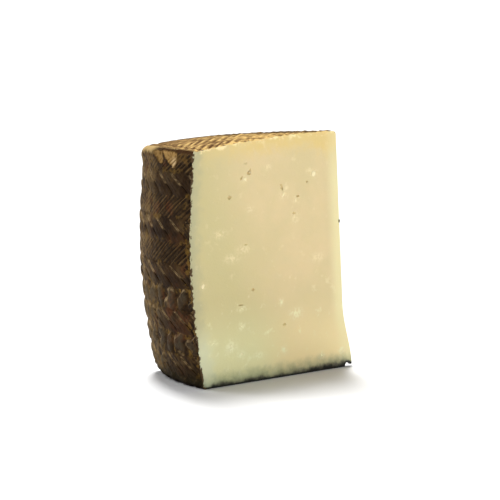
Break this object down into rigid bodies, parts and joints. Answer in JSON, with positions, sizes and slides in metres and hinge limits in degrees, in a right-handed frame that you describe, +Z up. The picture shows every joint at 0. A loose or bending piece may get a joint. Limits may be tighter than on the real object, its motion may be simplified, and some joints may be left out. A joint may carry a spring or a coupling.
{
  "type": "manchego cheese wedge",
  "caption": "Upright wedge of aged manchego cheese: plaited dark rind on its curved side, domed printed top, flat foot and two knife-cut paste faces that meet at the tip.",
  "frame": {"origin": "on the flat foot, under the middle of the bounding box", "axes": "+Z up along the wheel's axis, +X from the rind to the tip, +Y across the wedge to the far cut"},
  "size_m": [0.1012, 0.0562, 0.1111],
  "materials": {
    "cheese": "satin ivory paste on the cuts, with a dark brown, waxy plaited rind round the side"
  },
  "bodies": {
    "root": {"cheese_wedge": "cheese"}
  },
  "joints": []
}
